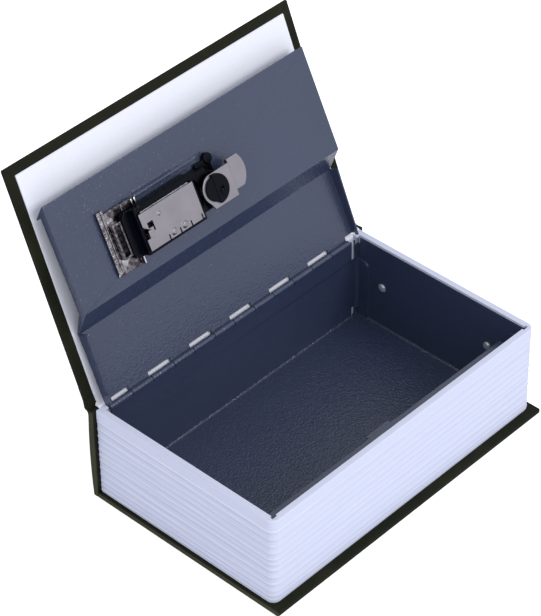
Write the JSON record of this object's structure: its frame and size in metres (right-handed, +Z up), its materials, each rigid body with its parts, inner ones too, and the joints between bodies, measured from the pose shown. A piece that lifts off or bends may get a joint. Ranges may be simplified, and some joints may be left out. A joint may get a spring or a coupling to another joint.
{
  "type": "book diversion safe",
  "caption": "Diversion safe shaped as a hardback book, shown open, with a hollow page block, a steel tray, a stepped hinged steel lid, a dial lock and a turning cam.",
  "frame": {"origin": "underside of the back cover, below the middle of the page block, on the surface the book rests on", "axes": "+X along the spine to the right seen from the fore-edge, -Y towards the fore-edge, +Z up"},
  "size_m": [0.18, 0.1617, 0.1598],
  "materials": {
    "book_cloth": "matt coated book cloth, olive black",
    "endpaper": "matt white paper",
    "page_plastic": "white moulded plastic with ribs like page edges",
    "slate_steel": "slate blue powder coat with fine orange peel",
    "nickel_steel": "nickel plated",
    "chrome_steel": "bright chrome",
    "zinc_steel": "zinc plated",
    "black_plastic": "black moulded plastic, satin"
  },
  "bodies": {
    "book": {"back_cover_board": "book_cloth", "spine_board": "book_cloth", "front_joint_cloth": "book_cloth", "front_joint_paper": "endpaper", "page_block": "page_plastic", "box_tray": "slate_steel", "lid_rest_rail": "slate_steel", "latch_strike": "slate_steel", "hinge_pin": "slate_steel", "case_rivet_1": "zinc_steel", "case_rivet_2": "zinc_steel", "case_rivet_3": "zinc_steel", "case_rivet_4": "zinc_steel"},
    "cover": {"front_cover_board": "book_cloth", "front_endpaper": "endpaper"},
    "lid": {"lid_panel": "slate_steel", "lock_faceplate": "black_plastic", "lock_body": "black_plastic", "lock_backplate": "nickel_steel", "lock_end_clip": "chrome_steel", "dial_shaft": "zinc_steel", "detent_spring": "zinc_steel", "locking_fence": "zinc_steel", "lock_screw_1": "zinc_steel", "lock_screw_2": "zinc_steel", "spindle_collar": "black_plastic"},
    "knob": {"knob": "black_plastic", "spindle": "black_plastic", "cam": "nickel_steel"},
    "dial_1": {"dial_wheel_1": "chrome_steel", "code_sleeve_1": "zinc_steel"},
    "dial_2": {"dial_wheel_2": "chrome_steel", "code_sleeve_2": "zinc_steel"},
    "dial_3": {"dial_wheel_3": "chrome_steel", "code_sleeve_3": "zinc_steel"},
    "reset": {"reset_lever": "nickel_steel"}
  },
  "joints": [
    {"name": "lid_hinge", "type": "hinge", "parent": "book", "child": "lid", "pos_m": [0, 0.051, 0.0508], "axis": [1, 0, 0], "range_deg": [0, 116]},
    {"name": "cover_hinge", "type": "hinge", "parent": "book", "child": "cover", "pos_m": [0, 0.0554, 0.0511], "axis": [1, 0, 0], "range_deg": [0, 112]},
    {"name": "knob_turn", "type": "hinge", "parent": "lid", "child": "knob", "pos_m": [0.0005, 0.06985, 0.11682], "axis": [0, -0.8988, 0.4384], "range_deg": [0, 90]},
    {"name": "dial_1_turn", "type": "hinge", "parent": "lid", "child": "dial_1", "pos_m": [-0.02839, 0.06967, 0.11713], "axis": [1, 0, 0], "continuous": true},
    {"name": "dial_2_turn", "type": "hinge", "parent": "lid", "child": "dial_2", "pos_m": [-0.02162, 0.06967, 0.11713], "axis": [1, 0, 0], "continuous": true},
    {"name": "dial_3_turn", "type": "hinge", "parent": "lid", "child": "dial_3", "pos_m": [-0.01485, 0.06967, 0.11713], "axis": [1, 0, 0], "continuous": true},
    {"name": "reset_slide", "type": "slide", "parent": "lid", "child": "reset", "axis": [0, 0.4384, 0.8988], "range_m": [0, 0.0018]}
  ],
  "couplings": [
    {"joint": "cover_hinge", "follows": "lid_hinge", "ratio": 0.9655}
  ]
}
